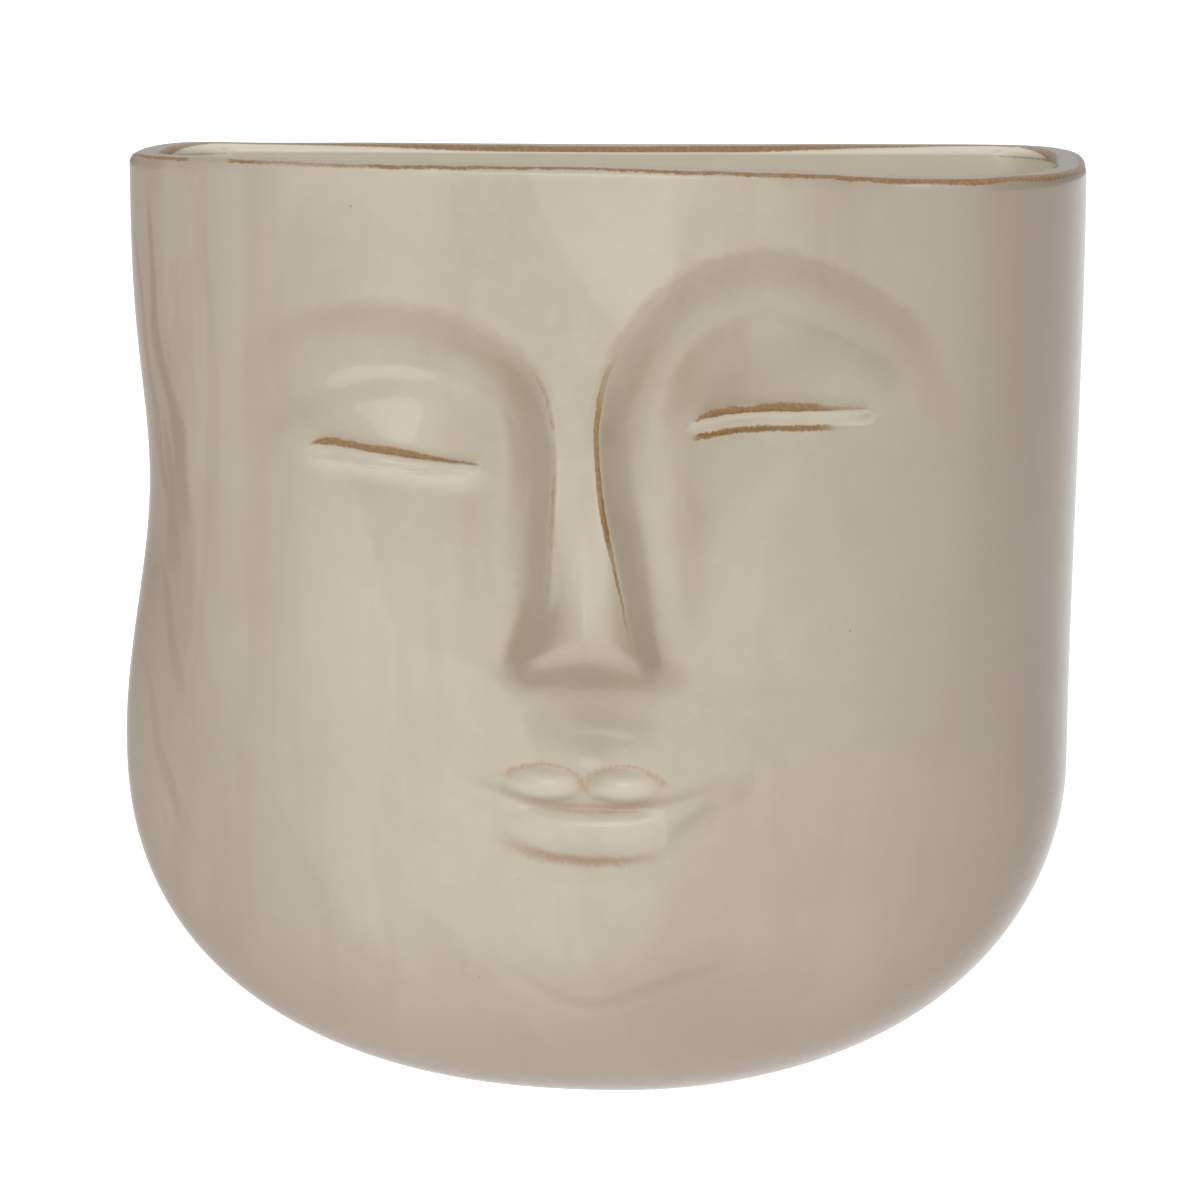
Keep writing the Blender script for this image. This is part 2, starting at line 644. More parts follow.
def clay_face(columns, rows, inset, carving, profile, start):
    """Points, faces, flat back and top ring of one side of the clay, made of a bent grid and a band."""
    u, v = [a.ravel() for a in np.meshgrid(columns, rows)]
    x, z = outline_point(u, v, inset)
    y = front_face(x, z, inset, carving)
    points = [np.stack([x, y, z], -1)]
    grid = np.arange(len(x)).reshape(len(rows), len(columns)) + start
    faces = []
    for lower, upper in zip(grid[:-1], grid[1:]):
        faces += quads(lower, upper)
    path = np.concatenate([grid[::-1, 0], grid[0, 1:-1], grid[:, -1]])
    edge = points[0][path - start]
    low = np.minimum(edge[:, 2] - BELLY_LEVEL, 0.0)
    start += len(x)
    loops = [path]
    for share, depth in profile:
        drawn = (edge[:, 0] * share, np.full(len(edge), depth), edge[:, 2] + low * (share - 1.0))
        loops.append(np.arange(len(path)) + start)
        faces += quads(loops[-2], loops[-1])
        points.append(np.stack(drawn, -1))
        start += len(path)
    top = points[0][grid[-1, -2:0:-1] - grid[0, 0]]
    points.append(np.stack([top[:, 0] * share, np.full(len(top), depth), top[:, 2]], -1))
    closing = np.arange(len(top)) + start
    flat_back = [*loops[-1].tolist(), *closing.tolist()]
    right = [loop[-1] for loop in loops[1:]]
    left = [loop[0] for loop in loops[:0:-1]]
    ring = np.array([*grid[-1], *right, *closing, *left])
    return np.vstack(points), faces, flat_back, ring


def rim_rows_between(outer, inner):
    """Rows of points from the outer ring over the rounded rim to the inner ring, and the way along them."""
    span = inner - outer
    width = np.hypot(span[:, 0], span[:, 1])
    toward = span / width[:, None]
    turns = [math.pi / 2 * k / RIM_STEPS for k in range(1, RIM_STEPS + 1)]
    offsets = [np.full(len(width), LIP_ROUND * (1 - math.cos(a))) for a in turns]
    offsets += [width * share for share in RIM_LAND_SHARES] + [width - off for off in offsets[::-1]]
    rises = [math.sin(a) for a in turns]
    rises += [1.0] * len(RIM_LAND_SHARES) + rises[::-1]
    rows = []
    for offset, rise in zip(offsets, rises):
        row = outer + toward * offset[:, None]
        crown = RIM_CROWN * (1 - (2 * offset / width - 1) ** 2)
        row[:, 2] = outer[:, 2] + (LIP_ROUND - RIM_CROWN) * rise + crown
        rows.append(row)
    steps = np.linalg.norm(np.diff(np.stack([outer, *rows]), axis=0), axis=-1)
    return rows, np.cumsum(steps, axis=0)


def settle_rim(points):
    """Lets the rim wander down a little along its way, as a rim trimmed by hand does."""
    x, y, z = points.T
    near = ease((z - RIM_TOP + RIM_SWAY_REACH) / RIM_SWAY_REACH)
    sway = 0.5 + 0.5 * value_noise(x, y, *RIM_SWAY_PATTERN)
    points[:, 2] = z - RIM_SWAY * near * sway


def new_piece(name, data):
    made = bpy.data.objects.new(name, data)
    bpy.context.scene.collection.objects.link(made)
    return made


def mesh_of(bm, name):
    mesh = bpy.data.meshes.new(name)
    bm.to_mesh(mesh)
    bm.free()
    return mesh


def whole_pot():
    """The pot as one closed mesh, with the way over its rim stored at each point."""
    columns = spaced(-1.0, 1.0, SHOWN_COLUMNS, column_density)
    outer_rows = spaced(-1.0, lip_level(0.0), SHOWN_ROWS, row_density)
    inner_rows = spaced(-1.0, lip_level(0.0), INNER_ROWS, row_density)
    outer_profile = back_profile(BACK_ROUND, WIDEST_DEPTH, 0.0, BAND_STEPS)
    cavity_back = BACK_RECESS - BACK_WALL
    inner_profile = back_profile(CAVITY_ROUND, WIDEST_DEPTH + cavity_back, cavity_back, BAND_STEPS)
    outer, faces, outer_back, outer_ring = clay_face(columns, outer_rows, 0.0, hand_marks, outer_profile, 0)
    inner, inner_faces, inner_back, inner_ring = clay_face(
        columns, inner_rows, WALL, inner_relief, inner_profile, len(outer)
    )
    points = np.vstack([outer, inner])
    rows, way = rim_rows_between(points[outer_ring], points[inner_ring])
    faces += inner_faces
    last = outer_ring
    start = len(points)
    for _ in rows:
        row = np.arange(len(outer_ring)) + start
        faces += quads(np.append(last, last[0]), np.append(row, row[0]))
        last = row
        start += len(row)
    faces += quads(np.append(last, last[0]), np.append(inner_ring, inner_ring[0]))
    smooth_count = len(faces)
    faces += [outer_back, inner_back]
    points = np.vstack([points, *rows])
    lip = RIM_TOP - LIP_ROUND
    over = np.concatenate([outer[:, 2] - lip, RIM_FAR + lip - inner[:, 2], way.ravel()])
    settle_rim(points)
    mesh = bpy.data.meshes.new("whole_pot")
    mesh.from_pydata(points, [], faces)
    mesh.polygons.foreach_set("use_smooth", [True] * smooth_count + [False] * 2)
    bm = bmesh.new()
    bm.from_mesh(mesh)
    bmesh.ops.recalc_face_normals(bm, faces=bm.faces)
    bm.to_mesh(mesh)
    bm.free()
    mesh.attributes.new("over_rim", "FLOAT", "POINT").data.foreach_set("value", over)
    normals = stored(mesh.vertex_normals, "vector", size=3)
    mesh.attributes.new("whole_normal", "FLOAT_VECTOR", "POINT").data.foreach_set("vector", normals.ravel())
    return mesh


def slot_solid(name, middle_x):
    """A keyhole through the back wall: a round entry below and a narrow neck with a round top."""
    corner = math.asin(SLOT_NECK_RADIUS / SLOT_ENTRY_RADIUS)
    points = []
    for k in range(2 * SLOT_STEPS + 1):
        angle = math.pi / 2 - corner - (math.tau - 2 * corner) * k / (2 * SLOT_STEPS)
        reach = SLOT_ENTRY_RADIUS
        points.append((reach * math.cos(angle), reach * math.sin(angle) - SLOT_ENTRY_DROP))
    for k in range(SLOT_STEPS + 1):
        angle = math.pi - math.pi * k / SLOT_STEPS
        reach = SLOT_NECK_RADIUS
        points.append((reach * math.cos(angle), reach * math.sin(angle) + SLOT_RISE))
    bm = bmesh.new()
    outline = [bm.verts.new((middle_x + x, BACK_WALL, z)) for x, z in points]
    face = bm.faces.new(outline)
    drawn = bmesh.ops.extrude_face_region(bm, geom=[face])["geom"]
    for vert in (g for g in drawn if isinstance(g, bmesh.types.BMVert)):
        vert.co.y = -2 * BACK_WALL
    bmesh.ops.recalc_face_normals(bm, faces=bm.faces)
    return new_piece(name, mesh_of(bm, name))


def cut_slots(piece):
    """Cuts the two hanging slots out of the piece and rounds their edges a little."""
    for name, middle_x in (("left_slot", -SLOT_SPACING / 2), ("right_slot", SLOT_SPACING / 2)):
        cutter = slot_solid(name, middle_x)
        cutting = piece.modifiers.new(name, "BOOLEAN")
        cutting.operation = "DIFFERENCE"
        cutting.solver = "EXACT"
        cutting.object = cutter
        bpy.context.view_layer.update()
        graph = bpy.context.evaluated_depsgraph_get()
        done = bpy.data.meshes.new_from_object(piece.evaluated_get(graph))
        piece.modifiers.remove(cutting)
        piece.data = done
        bpy.data.objects.remove(cutter)


def side_of_seam(name, mesh, front):
    """The part of the pot's mesh before or behind the seam, closed where it is cut."""
    bm = bmesh.new()
    bm.from_mesh(mesh)
    parts = bmesh.ops.bisect_plane(
        bm,
        geom=[*bm.verts, *bm.edges, *bm.faces],
        dist=TINY,
        plane_co=(0.0, SEAM_Y, 0.0),
        plane_no=(0.0, 1.0, 0.0),
        clear_outer=front,
        clear_inner=not front,
    )
    cut_edges = [g for g in parts["geom_cut"] if isinstance(g, bmesh.types.BMEdge)]
    caps = bmesh.ops.edgeloop_fill(bm, edges=cut_edges)["faces"]
    for cap in caps:
        cap.smooth = False
    return new_piece(name, mesh_of(bm, name))


def store_marks(mesh):
    """Stores at each point how it lies to the lines of the face, which the glaze follows."""
    x, y, z = stored(mesh.vertices, "co", size=3).T
    over = stored(mesh.attributes["over_rim"].data, "value")[:, 0]
    front = (y < -WIDEST_DEPTH) & (over < 0.5 * RIM_FAR)
    marks = {name: np.zeros((len(y), 3)) for name in ("brow", "slit", "lips", "form")}
    marks["form"][:, 2] = np.where(at_cavity_back(y), 2 * RIM_FAR, over) * MM
    x, z = x[front], z[front]
    left = line_distance(x, z, LEFT_SLIT) / LEFT_SLIT_HALF
    right = line_distance(x, z, RIGHT_SLIT) / RIGHT_SLIT_HALF
    lips = np.full(len(x), FAR_FROM_LIPS)
    for centre_x, centre_z, half_x, half_z, _ in LIPS.values():
        lips = np.maximum(lips, 1.0 - np.hypot((x - centre_x) / half_x, (z - centre_z) / half_z))
    crest = relief(x, z)
    for shift_x, shift_z in ((1, 0), (0, 1), (-1, 0), (0, -1)):
        crest = crest - relief(x + CREST_REACH * shift_x, z + CREST_REACH * shift_z) / 4
    marks["brow"][front, 0] = line_distance(x, z, LEFT_BROW) * MM
    marks["brow"][front, 1] = line_distance(x, z, RIGHT_BROW) * MM
    marks["brow"][front, 2] = 1.0
    marks["slit"][front, 0] = np.where(x < 0, left, right)
    marks["slit"][front, 1] = np.where(x < 0, along_line(x, LEFT_SLIT), along_line(x, RIGHT_SLIT))
    marks["lips"][front, 0] = lips
    marks["lips"][front, 1] = line_distance(x, z, MOUTH_LINE) * MM
    marks["lips"][front, 2] = line_distance(x, z, SMILE_LINE) * MM
    marks["form"][front, 0] = crest * MM
    marks["form"][front, 1] = line_distance(x, z, CHIN_LINE) * MM
    for name, values in marks.items():
        made = mesh.attributes.new(name, "FLOAT_VECTOR", "POINT")
        made.data.foreach_set("vector", values.astype(np.float32).ravel())


# A recipe says how a mask of the glaze is made. A name stands for a place, a mark, a noise or a recipe.
# A tuple that starts with one of these words joins what follows. SUM is a value times a factor, plus another.
SUM = "MULTIPLY_ADD"
TIMES = "MULTIPLY"
MOST = "MAXIMUM"
SHARE = "DIVIDE"
SIZE = "ABSOLUTE"
# Any other tuple is a step: a value, where it starts and ends, and from what to what it goes if not 0 to 1.


def spot(x, z, reach_x, reach_z):
    """The recipe of a soft ellipse on the face, 1 at its middle and 0 from its edge on."""
    across = (SHARE, (SUM, "x", 1.0, -x), reach_x)
    up = (SHARE, (SUM, "z", 1.0, -z), reach_z)
    return (SUM, across, across, (TIMES, up, up)), 1.0, 0.0


def glaze_run(line, half, strength):
    """The recipe of a run of glaze that follows a line down the side of the pot."""
    off = (SUM, "wavy_x", 1.0, -line[0][0])
    for (from_x, from_z), (to_x, to_z) in zip(line, line[1:]):
        off = (SUM, ("z", to_z, from_z, from_x - to_x, 0.0), 1.0, off)
    top, bottom = line[0][1], line[-1][1]
    off = (SHARE, (SIZE, off), ("z", bottom, top, half, RUN_TOP_SHARE * half))
    ends = (TIMES, ("z", top, top - RUN_FADE), ("z", bottom, bottom + RUN_FADE))
    return TIMES, (off, *RUN_SOFT_EDGE), ends, strength


RECIPES = {
    # Sides and bottom
    "from_middle": (SUM, "z", 1.0, 0.058),
    "high": ((SIZE, "from_middle"), 0.015, 0.075, 0.8, 0.5),
    "right_runs": (TIMES, ("runs", 0.5, 0.68), ("x", 0.04, 0.08, 0.16, 0.34)),
    "left_streaks": (TIMES, ("x", -0.068, -0.114), "high", ("runs", 0.4, 0.56, 0.3, 1.0)),
    "left_drips": (TIMES, ("x", -0.096, -0.117), ("drips", 0.5, 0.53), "high"),
    "right_of_chin": spot(0.066, -0.165, 0.06, 0.07),
    "low": (SUM, "pours", 0.04, "z"),
    "low_side": (SUM, (SIZE, "x"), -0.5, "z"),
    "turned": (
        TIMES,
        ((SIZE, "facing"), 0.99, 0.45),
        ("low_side", -0.2, -0.11, 1.0, 0.55),
        ("fine", 0.3, 0.6, 0.62, 0.8),
    ),
    "wavy_x": (SUM, "drips", 0.008, (SUM, "x", 1.0, -0.004)),
    "brown_runs": (TIMES, (MOST, *(glaze_run(*run) for run in SIDE_RUNS)), ("runs", 0.3, 0.6, 0.45, 1.0)),
    "thin": (TIMES, ("fine", 0.6, 0.74), 0.06),
    # Rim, where the way over it is counted in millimetres
    "at_rim": ("z", RIM_TOP - 0.014, RIM_TOP - 0.011),
    "rim_wave": (SUM, "rim_waves", 2.4, -1.2),
    "rim_grain": (SUM, "rim_grains", 2.0, -1.0),
    "patchy": ("rim_patches", 0.36, 0.44, 0.55, 1.0),
    "outer": (SUM, "rim_grain", 0.7, (SUM, "rim_wave", 1.0, "over")),
    "past_low": (SUM, ("x", 0.01, 0.075, 1.45, 0.95), -1.0, "outer"),
    "to_high": (SUM, "outer", -1.0, ("x", 0.01, 0.075, 3.1, 3.5)),
    "from_roll": (SUM, "x", 1.0, 0.1),
    "glazed_over": ((SIZE, "from_roll"), 0.0045, 0.0065, 0.05, 1.0),
    "outer_line": (TIMES, ("past_low", -0.1, 0.5), ("to_high", -0.1, 0.4), ("y", -0.014, -0.03)),
    "inner": (SUM, "rim_grain", 0.4, (SUM, "rim_wave", 0.35, "over")),
    "inner_line": (TIMES, ("inner", 8.3, 8.7), ("inner", 11.2, 10.7), ("y", -0.04, -0.028)),
    "outer_wear": (TIMES, "outer_line", "patchy", "glazed_over"),
    "inner_wear": (TIMES, "inner_line", ("patchy", 0.0, 1.0, 0.85, 1.0)),
    "rim": (TIMES, "at_rim", (MOST, "outer_wear", "inner_wear")),
    # Frayed edges of the face
    "ragged": (SUM, "face_tatters", 1.8, -0.9),
    "face_grain": (SUM, "face_grains", 2.0, -1.0),
    "frayed": (SUM, "face_grain", 0.6, (TIMES, "ragged", 0.5)),
    "broken": ("face_patches", 0.36, 0.52, 0.2, 1.0),
    "speckled": ("face_grain", -0.35, 0.35, 0.35, 1.0),
    # Brows and the ridges of the nose
    "off_right": (TIMES, (SUM, "frayed", 0.6, "right_brow"), ("z", -0.074, -0.056, 2.2, 1.0)),
    "off_left": (SUM, "frayed", 0.8, "left_brow"),
    "on_nose": (TIMES, ((SIZE, "x"), 0.032, 0.02), ("z", -0.012, -0.024), ("z", -0.092, -0.06)),
    "right_ridge": (
        TIMES, ("off_right", -1.05, -0.7), ("off_right", 0.65, 0.3), ("broken", 0.0, 1.0, 0.6, 1.0),
    ),
    "left_ridge": (TIMES, ("off_left", -0.8, -0.4), ("off_left", 0.8, 0.3), "broken", "speckled", 0.5),
    "ridges": (TIMES, "on_nose", (MOST, "right_ridge", "left_ridge")),
    "near_right": (SUM, "ragged", 1.6, "right_brow"),
    "near_left": (SUM, "ragged", 1.6, "left_brow"),
    "right_arch": (TIMES, ("z", -0.046, -0.026), ("x", 0.092, 0.076), ("x", -0.006, 0.004), 0.48),
    "left_arch": (TIMES, ("z", -0.034, -0.02), ("x", -0.1, -0.06), 0.42),
    "brows": (
        MOST,
        (TIMES, ("near_right", -3.4, -0.4), ("near_right", 9.7, 1.2), "right_arch"),
        (TIMES, ("near_left", -9.5, -1.0), ("near_left", 3.2, -0.8), "left_arch"),
    ),
    # Eye slits and lids, in half heights of the slit across and half lengths along it
    "tilted": (SUM, "frayed", 0.42, "across"),
    "slit_wear": (SUM, "slit_patches", 1.1, 0.85),
    "thick": (TIMES, "slit_wear", ("along", -1.04, -0.78, 0.4, 1.0), ("along", 0.0, 1.0, 1.0, 0.5)),
    "past": (SUM, "thick", -1.0, "tilted"),
    "inside": ((SIZE, "along"), 1.06, 0.94),
    "upper_end": ("along", 0.35, 0.75, 1.0, ("x", -0.01, 0.01, 1.0, 0.4)),
    "upper": (TIMES, ("tilted", 0.5, 0.7), ("past", 0.35, 0.0), "upper_end"),
    "lower_end": (TIMES, ("along", 0.7, 0.45), ("x", -0.01, 0.01, 0.12, 1.0)),
    "lower": (TIMES, ("tilted", -1.55, -1.3), ("tilted", -0.7, -0.95), "lower_end"),
    "slits": (TIMES, "inside", (MOST, "upper", "lower")),
    "halo": (TIMES, ("tilted", 0.4, 0.9), ("past", 1.6, -0.2), "inside", 0.45),
    "left_lid": (TIMES, ("across", -4.2, -1.6), ("across", 0.6, 0.2), ("x", 0.01, -0.01), 0.8),
    "right_lid": (TIMES, ("across", -1.1, -0.9), ("across", 0.8, 0.5), ("x", -0.01, 0.01)),
    "lids": (TIMES, ((SIZE, "along"), 1.25, 0.8), (MOST, "left_lid", "right_lid")),
    # Mouth and chin, in millimetres from their lines and in shares of a lip's size
    "lip_edge": (SUM, "frayed", 0.1, "lips"),
    "lip_tops": (
        TIMES, ("lip_edge", -0.18, -0.02), ("lip_edge", 0.19, 0.03), ("mouth", 2.6, 5.2), "speckled", 0.7,
    ),
    "foot_edge": (SUM, "frayed", 0.16, "lips"),
    "foot_spot": (TIMES, spot(-0.005, -0.141, 0.026, 0.013), 0.7),
    "lip_foot": (
        TIMES, ("foot_edge", -0.3, 0.04), ("foot_edge", 0.26, 0.02), ("mouth", -2.8, -4.8), "foot_spot",
    ),
    "lip_core": (TIMES, "lip_foot", "speckled", spot(-0.006, -0.142, 0.016, 0.009)),
    "mouth_edge": (SUM, "frayed", 0.5, "mouth"),
    "near_mouth": ((SIZE, "mouth_edge"), 1.9, 0.2),
    "mouth_core": (TIMES, "near_mouth", "speckled", spot(0.0005, -0.129, 0.014, 0.006), 0.7),
    "mouth_x": (SUM, "x", 1.0, 0.001),
    "mouth_line": (TIMES, "near_mouth", ((SIZE, "mouth_x"), 0.01, 0.036, 0.5, 0.0)),
    "chin_x": (SUM, "x", 1.0, -0.004),
    "chin_line": (TIMES, ((SIZE, "chin"), 3.4, 0.0), ((SIZE, "chin_x"), 0.01, 0.04, 0.3, 0.0)),
    "full_lips": (TIMES, ("lips", 0.02, 0.6), ("mouth", -1.0, 1.0, 0.34, 0.6)),
    # Shades around the nose and at the end of the smile
    "nose_corners": (MOST, spot(-0.0192, -0.095, 0.0085, 0.006), spot(0.0165, -0.094, 0.008, 0.0065)),
    "corners": (TIMES, "nose_corners", ("broken", 0.0, 1.0, 0.7, 1.0), 0.36),
    "nostrils": (TIMES, spot(-0.001, -0.108, 0.021, 0.008), ("broken", 0.0, 1.0, 0.6, 1.0), 0.44),
    "smear": (TIMES, ((SIZE, "smile"), 0.4, 2.8, 0.42, 0.0), spot(0.025, -0.1295, 0.0105, 0.0085)),
    "off_tip": (SUM, spot(-0.001, -0.088, 0.04, 0.018), -1.0, 1.0),
    "under_tip": (TIMES, spot(-0.001, -0.0925, 0.027, 0.016), ("runs", 0.35, 0.6, 0.12, 0.36)),
    "beside_nose": (TIMES, ("z", -0.018, -0.03), ("z", -0.102, -0.086), "front"),
    "right_flank": (
        TIMES, ("right_brow", 0.2, 1.4), ("right_brow", 11.0, 4.0), ("x", 0.038, 0.028), 0.48,
    ),
    "left_flank": (
        TIMES, ("left_brow", -8.0, -2.0), ("left_brow", 0.0, -1.6), ("x", -0.036, -0.028), 0.12,
    ),
    # What is painted on the face
    "proud": (TIMES, ("crest", 0.02, 0.4), "off_tip", "front"),
    "flanks": (TIMES, "beside_nose", (MOST, "right_flank", "left_flank")),
    "hollow": (TIMES, ("crest", -0.02, -0.45), "front"),
    "below_chin": (TIMES, ("chin", 1.0, -7.0), ((SIZE, "x"), 0.06, 0.02), "front"),
    "pale": (TIMES, (MOST, "lids", "full_lips"), "front"),
    "shade": (TIMES, (MOST, "corners", "nostrils", "smear", (TIMES, "brows", 0.45)), "front"),
    "lines": (MOST, "lip_foot", "mouth_line", "chin_line", "halo"),
    "brown": (TIMES, (MOST, "lines", (TIMES, "brows", 0.75), (TIMES, "corners", 0.35)), "front"),
    "rust": (TIMES, (MOST, "lip_tops", "lip_core", "mouth_core"), "front"),
    "ochre": (TIMES, (MOST, "ridges", "slits"), "front"),
    # Wear, which roughens the glaze
    "worn": (MOST, "thin", "rim"),
    "worn_face": (MOST, "worn", (TIMES, "brown", 0.5), "rust", "ochre"),
}

# Layers of the glaze from the lowest up, each (recipe, strength, colour)
SIDE_LAYERS = (
    (("fine", 0.42, 0.8), 0.16, CREAM_PALE),
    (("pours", 0.495, 0.515), 0.2, CREAM_PALE),
    ("right_runs", 1.0, ROSE),
    ("left_streaks", 1.0, ROSE),
    ("left_drips", 0.85, ROSE),
    (("x", 0.026, 0.108), 0.86, ASH),
    (("x", -0.04, -0.118), 0.48, ASH),
    ("right_of_chin", 0.4, ROSE),
    (("low", -0.136, -0.172), 0.52, ROSE),
    ("turned", 1.0, RUN_BROWN),
    ("brown_runs", 1.0, RUN_BROWN),
)
FACE_LAYERS = (
    ("proud", 0.22, CREAM_PALE),
    ("under_tip", 1.0, ROSE),
    ("flanks", 1.0, ASH),
    ("hollow", 0.28, WARM_SHADE),
    ("below_chin", 0.3, ROSE),
    ("pale", 0.75, CREAM_PALE),
    ("shade", 1.0, ASH),
    ("brown", 0.9, RED_BROWN),
    ("rust", 0.85, RUST),
)
TOP_LAYERS = (
    ("dots", 0.75, RED_BROWN),
    ("pinholes", 0.9, DARK),
)


class Wiring:
    """Makes shader nodes of one tree. Inputs are plain values or sockets."""

    def __init__(self, tree):
        self.tree = tree
        self.known = {}

    def feed(self, socket, value):
        if isinstance(value, bpy.types.NodeSocket):
            self.tree.links.new(value, socket)
        else:
            socket.default_value = value

    def place_of(self, kind):
        """One of the texture coordinates, such as the place in the object's own space."""
        return self.tree.nodes.new("ShaderNodeTexCoord").outputs[kind]

    def parts(self, vector):
        """The X, Y and Z of a vector."""
        node = self.tree.nodes.new("ShaderNodeSeparateXYZ")
        self.feed(node.inputs["Vector"], vector)
        return node.outputs

    def survey(self):
        """Makes the places and the marks known by their names."""
        self.known.update(zip("xyz", self.parts(self.place_of("Object"))))
        self.known["facing"] = self.parts(self.place_of("Normal"))["Y"]
        for mark, names in MARKS.items():
            node = self.tree.nodes.new("ShaderNodeAttribute")
            node.attribute_name = mark
            self.known.update(zip(names, self.parts(node.outputs["Vector"])))

    def pattern(self, kind, scale, stretch, shift):
        """A texture node of that kind, laid out in the object's own space."""
        turn = self.tree.nodes.new("ShaderNodeMapping")
        self.feed(turn.inputs["Vector"], self.place_of("Object"))
        turn.inputs["Scale"].default_value = stretch
        turn.inputs["Location"].default_value = shift
        node = self.tree.nodes.new(kind)
        self.feed(node.inputs["Vector"], turn.outputs["Vector"])
        node.inputs["Scale"].default_value = scale
        return node

    def noise(self, name):
        scale, detail, roughness, stretch, shift = PATTERNS[name]
        node = self.pattern("ShaderNodeTexNoise", scale, stretch, shift)
        node.inputs["Detail"].default_value = detail
        node.inputs["Roughness"].default_value = roughness
        return node.outputs["Fac"]

    def specks(self, scale, size, chance, shift):
        """Round dots of 0.3 to 1 times the size in a few cells of a Voronoi pattern."""
        node = self.pattern("ShaderNodeTexVoronoi", scale, EVEN, shift)
        lottery = self.tree.nodes.new("ShaderNodeSeparateColor")
        self.feed(lottery.inputs["Color"], node.outputs["Color"])
        drawn = self.math("LESS_THAN", lottery.outputs["Red"], chance)
        reach = self.math("MULTIPLY_ADD", lottery.outputs["Green"], 0.7 * size, 0.3 * size)
        near = self.math("SUBTRACT", reach, node.outputs["Distance"])
        return self.math("MULTIPLY", self.steps(near, 0.0, 0.25 * size), drawn)

    def math(self, operation, first, second=0.0, third=0.0):
        node = self.tree.nodes.new("ShaderNodeMath")
        node.operation = operation
        for socket, value in zip(node.inputs, (first, second, third)):
            self.feed(socket, value)
        return node.outputs[0]

    def steps(self, value, low, high, first=0.0, last=1.0):
        """Goes smoothly from first to last as the value goes from low to high."""
        node = self.tree.nodes.new("ShaderNodeMapRange")
        node.interpolation_type = "SMOOTHSTEP"
        self.feed(node.inputs["Value"], value)
        self.feed(node.inputs["From Min"], low)
        self.feed(node.inputs["From Max"], high)
        self.feed(node.inputs["To Min"], first)
        self.feed(node.inputs["To Max"], last)
        return node.outputs["Result"]

    def named(self, name):
        """What the name stands for, made when it is first asked for."""
        if name not in self.known:
            self.known[name] = self.noise(name) if name in PATTERNS else self.make(RECIPES[name])
        return self.known[name]

    def make(self, recipe):
        """The value that a recipe gives. A number or a socket stands for itself."""
        if isinstance(recipe, str):
            return self.named(recipe)
        if not isinstance(recipe, tuple):
            return recipe
        join, *terms = recipe
        if join not in (SUM, TIMES, MOST, SHARE, SIZE):
            return self.steps(*map(self.make, recipe))
        terms = [self.make(term) for term in terms]
        if join in (SUM, SIZE):
            return self.math(join, *terms)
        total = terms[0]
        for term in terms[1:]:
            total = self.math(join, total, term)
        return total

    def mix(self, share, first, second):
        node = self.tree.nodes.new("ShaderNodeMix")
        node.data_type = "RGBA"
        self.feed(node.inputs["Factor"], self.make(share))
        self.feed(node.inputs["A"], first)
        self.feed(node.inputs["B"], second)
        return node.outputs["Result"]

    def paint(self, colour, layers):
        """The colour under the layers."""
        for recipe, strength, tint in layers:
            colour = self.mix((TIMES, recipe, strength), colour, tint)
        return colour

    def bump(self, shader, height, distance):
        node = self.tree.nodes.new("ShaderNodeBump")
        node.inputs["Distance"].default_value = distance
        self.feed(node.inputs["Height"], self.make(height))
        self.feed(shader.inputs["Normal"], node.outputs["Normal"])
        return node.outputs["Normal"]


def new_material(name):
    """A material, its shader and the wiring that makes its nodes."""
    made = bpy.data.materials.new(name)
    made.use_nodes = True
    return made, made.node_tree.nodes["Principled BSDF"], Wiring(made.node_tree)


def glaze(name, with_face):
    """Cream glaze over brown clay, with the tints of the face where it has one."""
    made, shader, w = new_material(name)
    w.survey()
    w.known["dots"] = w.specks(*DOTS)
    w.known["pinholes"] = w.specks(*PINHOLES)
    colour = w.paint(w.mix(("cloud", 0.28, 0.74), CREAM_DEEP, CREAM), SIDE_LAYERS)
    worn = "worn"
    if with_face:
        worn = "worn_face"
        colour = w.paint(colour, FACE_LAYERS)
        colour = w.paint(colour, [("ochre", 0.92, w.mix(("grain", 0.44, 0.7), OCHRE, OCHRE_PALE))])
    colour = w.paint(colour, [(("over", 9.5, 12.0), 0.9, POOLED)])
    colour = w.paint(colour, [("rim", 0.92, w.mix(("grain", 0.42, 0.66), OCHRE, OCHRE_PALE)), *TOP_LAYERS])
    w.feed(shader.inputs["Base Color"], colour)
    rough = (SUM, worn, ROUGH_WORN, (SUM, "fine", ROUGH_FINE, ROUGH_LEAST))
    w.feed(shader.inputs["Roughness"], w.make(rough))
    shader.inputs["Coat Weight"].default_value = COAT_WEIGHT
    shader.inputs["Coat Roughness"].default_value = COAT_ROUGHNESS
    shader.inputs["Coat IOR"].default_value = COAT_IOR
    height = (SUM, "swell", SWELL_HEIGHT, (TIMES, "peel", PEEL_HEIGHT))
    height = (SUM, "pinholes", PINHOLE_HEIGHT, (SUM, worn, WORN_HEIGHT, height))
    w.feed(shader.inputs["Coat Normal"], w.bump(shader, height, GLAZE_BUMP))
    return made


def rubber(name):
    """Clear rubber of the pads, a little dusty."""
    made, shader, w = new_material(name)
    w.feed(shader.inputs["Base Color"], w.mix(("dust", 0.35, 0.75), RUBBER_CLEAN, RUBBER_DUSTY))
    w.feed(shader.inputs["Roughness"], w.make((SUM, "dust", 0.3, 0.3)))
    shader.inputs["Transmission Weight"].default_value = 0.25
    w.bump(shader, "rubber_grain", RUBBER_BUMP)
    return made


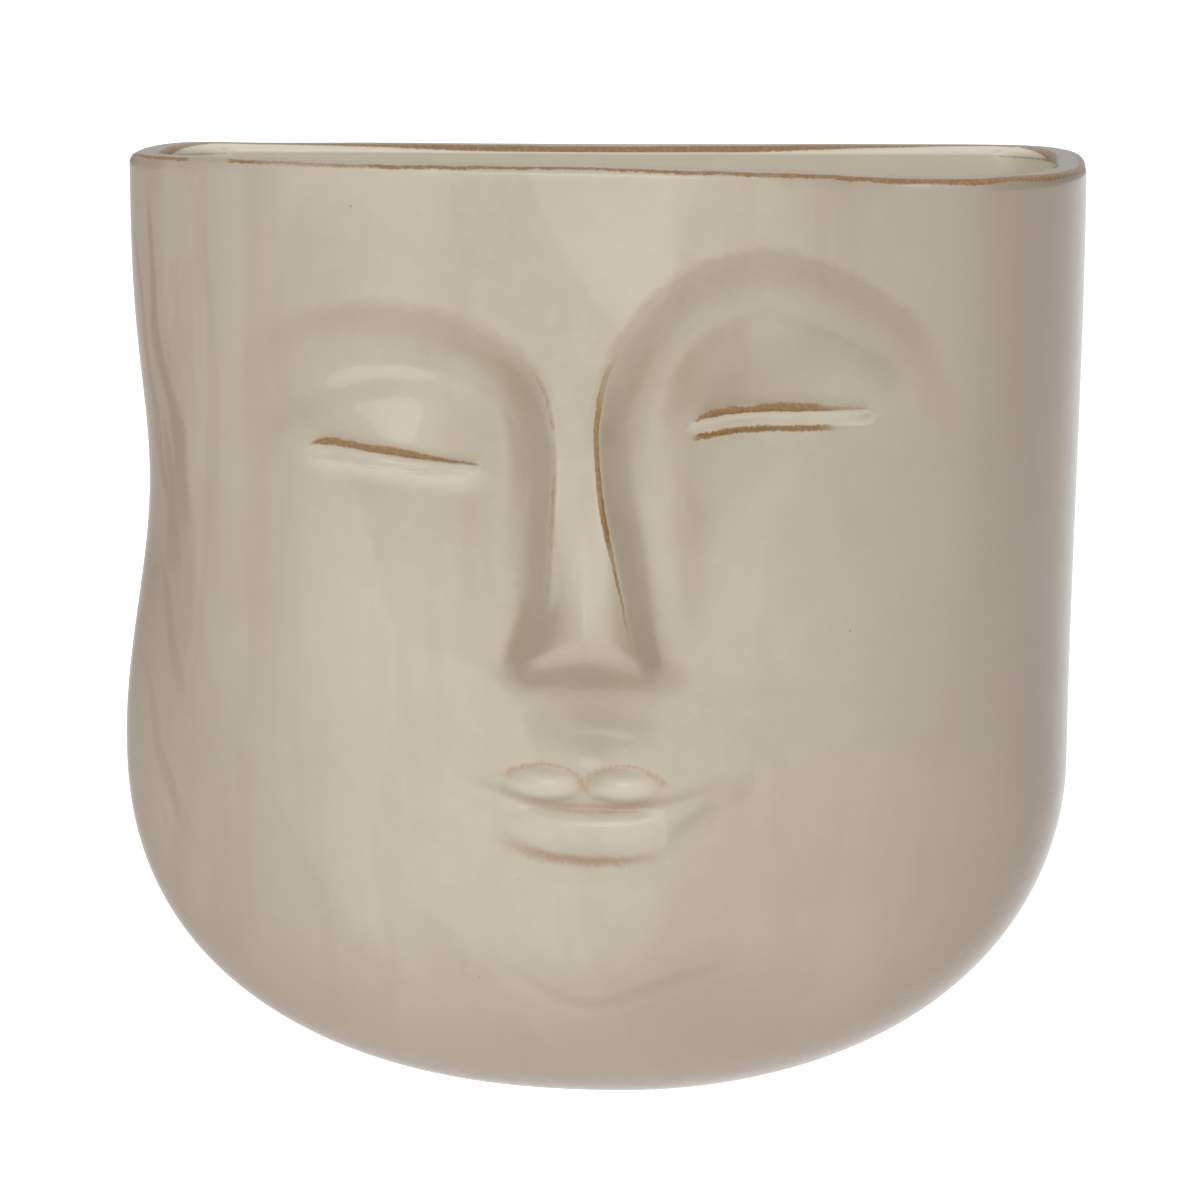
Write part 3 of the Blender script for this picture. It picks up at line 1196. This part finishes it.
def white_floor():
    """A pale floor well below the pot. The camera sees it white where no shadow falls."""
    made, shader, w = new_material("white_floor")
    w.feed(shader.inputs["Base Color"], w.mix("floor", FLOOR_DIM, FLOOR_BRIGHT))
    shader.inputs["Roughness"].default_value = 0.9
    seen = w.tree.nodes.new("ShaderNodeLightPath").outputs["Is Camera Ray"]
    w.feed(shader.inputs["Emission Strength"], w.make((SUM, seen, FLOOR_SEEN_GLOW, FLOOR_GLOW)))
    shader.inputs["Emission Color"].default_value = WHITE
    bm = bmesh.new()
    bmesh.ops.create_grid(bm, x_segments=FLOOR_CELLS, y_segments=FLOOR_CELLS, size=FLOOR_HALF)
    floor = new_piece("floor", mesh_of(bm, "floor"))
    floor.data.materials.append(made)
    floor.location = (0.0, 0.0, FLOOR_LEVEL)
    return floor


def front_lamp():
    """A soft round lamp at the front left, aimed at the pot."""
    light = bpy.data.lights.new("front", "AREA")
    light.shape = "DISK"
    light.size = LAMP_SIZE
    light.energy = LAMP_POWER
    lamp = new_piece("front", light)
    lamp.location = LAMP_PLACE
    lamp.rotation_euler = (Vector(TARGET) - Vector(LAMP_PLACE)).to_track_quat("-Z", "Y").to_euler()


def studio_world():
    """White to the camera. As light it is a soft tent, bright in front and above and dim elsewhere."""
    world = bpy.data.worlds.new("studio")
    bpy.context.scene.world = world
    world.use_nodes = True
    w = Wiring(world.node_tree)
    _, along, up = w.parts(w.place_of("Generated"))
    tent = (SUM, (along, *TENT_FRONT), 1.0, (SUM, (along, *TENT_BACK), 1.0, (up, *TENT_TOP)))
    seen = w.tree.nodes.new("ShaderNodeLightPath").outputs["Is Camera Ray"]
    light = w.tree.nodes["Background"]
    light.inputs["Color"].default_value = WHITE
    w.feed(light.inputs["Strength"], w.make((MOST, seen, (TIMES, tent, (SUM, seen, -1.0, 1.0)))))


def photo_camera():
    """The camera at the photograph's angle."""
    turn = math.radians(CAMERA_TURN)
    rise = math.radians(CAMERA_RISE)
    away = Vector((math.sin(turn) * math.cos(rise), -math.cos(turn) * math.cos(rise), math.sin(rise)))
    camera = new_piece("photo_camera", bpy.data.cameras.new("photo_camera"))
    camera.data.lens = CAMERA_LENS
    camera.data.shift_x = CAMERA_SHIFT
    camera.location = Vector(TARGET) + away * CAMERA_AWAY
    camera.rotation_euler = (math.pi / 2 - rise, 0.0, turn)
    bpy.context.scene.camera = camera


POT = whole_pot()
front_shell = side_of_seam("front_shell_glazed", POT, True)
back_wall = side_of_seam("back_wall_glazed", POT, False)
cut_slots(back_wall)
bpy.data.meshes.remove(POT)
PIECES = (
    (front_shell, "front_shell", "cream_glaze", glaze("cream_glaze_of_face", True)),
    (back_wall, "back_wall", "cream_back_glaze", glaze("cream_glaze_of_back", False)),
)
for piece, node, slot, material in PIECES:
    store_marks(piece.data)
    keep_seam_normals(piece.data)
    piece.data.materials.clear()
    piece.data.materials.append(material)
    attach(piece, "root")
    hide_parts(node)

RUBBER = rubber("clear_rubber_of_pads")
for level in ("upper", "lower"):
    for side in ("left", "right"):
        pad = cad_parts[f"wall_bumper_{level}_{side}"]
        pad.data.materials.clear()
        pad.data.materials.append(RUBBER)

white_floor()
front_lamp()
studio_world()
photo_camera()
bpy.context.scene.view_settings.view_transform = "Standard"
